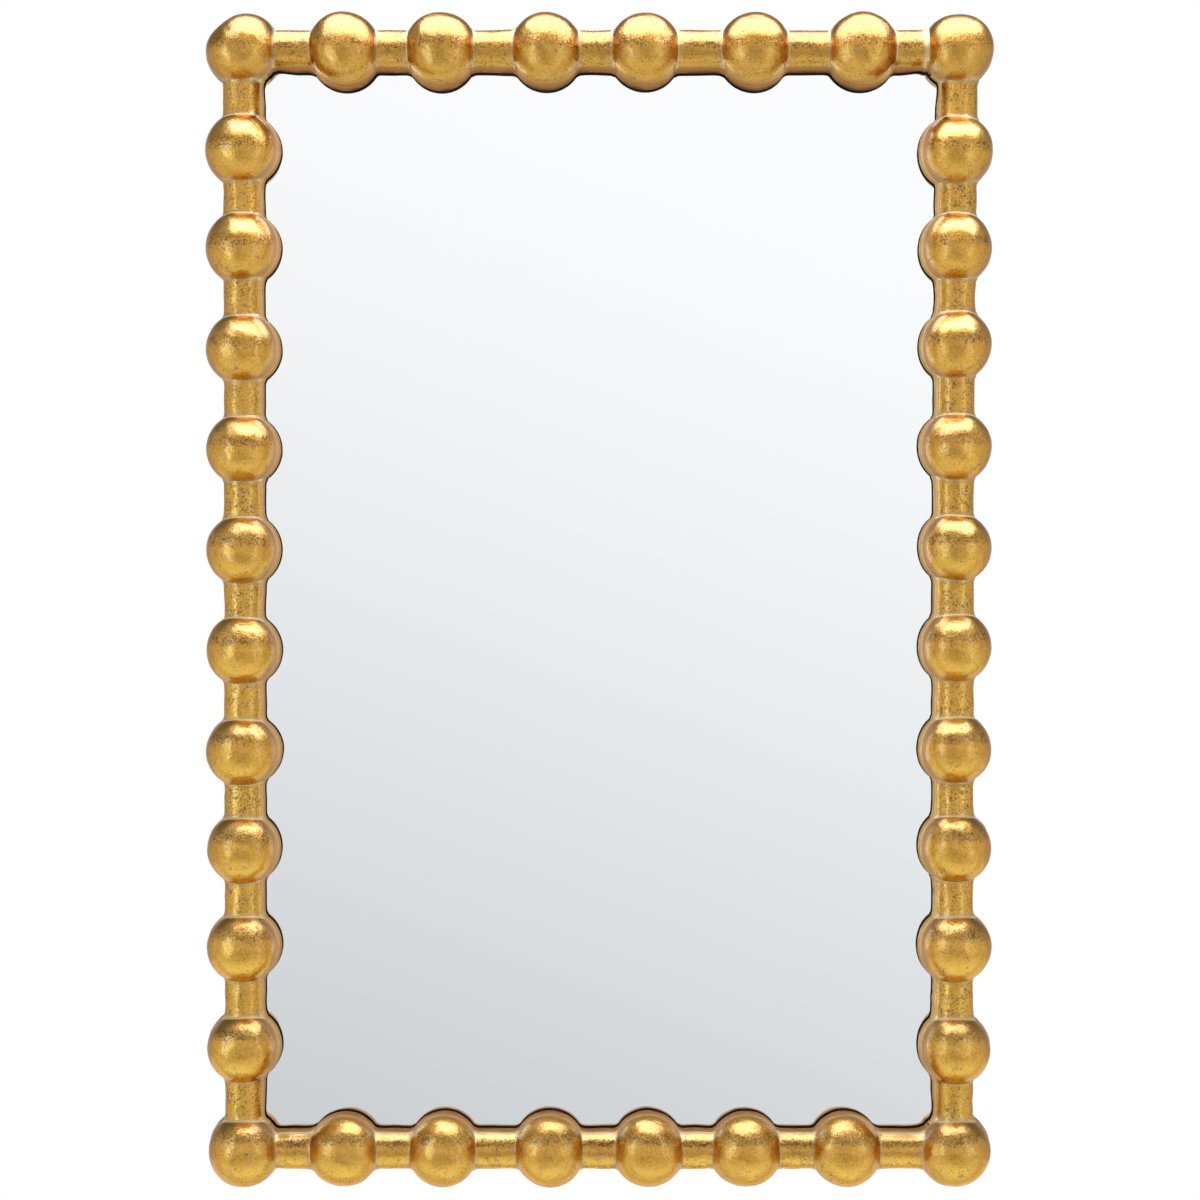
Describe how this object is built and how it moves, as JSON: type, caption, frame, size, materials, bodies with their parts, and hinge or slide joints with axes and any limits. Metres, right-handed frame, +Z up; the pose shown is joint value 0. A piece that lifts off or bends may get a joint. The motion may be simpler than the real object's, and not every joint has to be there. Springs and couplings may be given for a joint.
{
  "type": "rectangular wall mirror",
  "caption": "Rectangular wall mirror in a gilded frame of half balls joined by short half-round rods, with a boarded back and two ring hangers.",
  "frame": {"origin": "centre of the whole object's box", "axes": "+Z up as it hangs, -Y out of the mirror's front, +Y towards the wall, +X to the viewer's right"},
  "size_m": [0.6128, 0.057, 0.9154],
  "materials": {
    "gold_leaf": "worn gold leaf over brown bole, satin",
    "gilded_wood": "gilded sides, black painted rebate and back",
    "silvered_glass": "polished, silvered",
    "black_felt": "matt felt",
    "white_foam": "closed-cell foam",
    "hardboard": "smooth brown hardboard",
    "zinc_screws": "zinc plated",
    "zinc_plate": "zinc plated sheet",
    "zinc_wire": "zinc plated wire",
    "bumper_rubber": "matt rubber"
  },
  "bodies": {
    "frame": {"back_board": "hardboard", "bead_bottom_1": "gold_leaf", "bead_bottom_2": "gold_leaf", "bead_bottom_3": "gold_leaf", "bead_bottom_4": "gold_leaf", "bead_bottom_5": "gold_leaf", "bead_bottom_6": "gold_leaf", "bead_corner_bottom_left": "gold_leaf", "bead_corner_bottom_right": "gold_leaf", "bead_corner_top_left": "gold_leaf", "bead_corner_top_right": "gold_leaf", "bead_left_1": "gold_leaf", "bead_left_10": "gold_leaf", "bead_left_2": "gold_leaf", "bead_left_3": "gold_leaf", "bead_left_4": "gold_leaf", "bead_left_5": "gold_leaf", "bead_left_6": "gold_leaf", "bead_left_7": "gold_leaf", "bead_left_8": "gold_leaf", "bead_left_9": "gold_leaf", "bead_right_1": "gold_leaf", "bead_right_10": "gold_leaf", "bead_right_2": "gold_leaf", "bead_right_3": "gold_leaf", "bead_right_4": "gold_leaf", "bead_right_5": "gold_leaf", "bead_right_6": "gold_leaf", "bead_right_7": "gold_leaf", "bead_right_8": "gold_leaf", "bead_right_9": "gold_leaf", "bead_screws": "zinc_screws", "bead_top_1": "gold_leaf", "bead_top_2": "gold_leaf", "bead_top_3": "gold_leaf", "bead_top_4": "gold_leaf", "bead_top_5": "gold_leaf", "bead_top_6": "gold_leaf", "board_clips": "zinc_plate", "brace_screws": "zinc_screws", "clip_screws": "zinc_screws", "corner_braces": "zinc_plate", "felt_strips": "black_felt", "foam_sheet": "white_foam", "hanger_strap_left": "zinc_plate", "hanger_strap_right": "zinc_plate", "mirror_glass": "silvered_glass", "rail_bottom": "gilded_wood", "rail_top": "gilded_wood", "rods_bottom": "gold_leaf", "rods_left": "gold_leaf", "rods_right": "gold_leaf", "rods_top": "gold_leaf", "stile_left": "gilded_wood", "stile_right": "gilded_wood", "strap_screws": "zinc_screws", "wall_bumpers": "bumper_rubber"},
    "ring_left": {"hanger_ring_left": "zinc_wire"},
    "ring_right": {"hanger_ring_right": "zinc_wire"}
  },
  "joints": [
    {"name": "ring_swing_left", "type": "hinge", "parent": "frame", "child": "ring_left", "pos_m": [-0.2818, 0.02535, 0.28491], "axis": [1, 0, 0], "range_deg": [0, 175]},
    {"name": "ring_swing_right", "type": "hinge", "parent": "frame", "child": "ring_right", "pos_m": [0.2818, 0.02535, 0.28491], "axis": [1, 0, 0], "range_deg": [0, 175]}
  ]
}
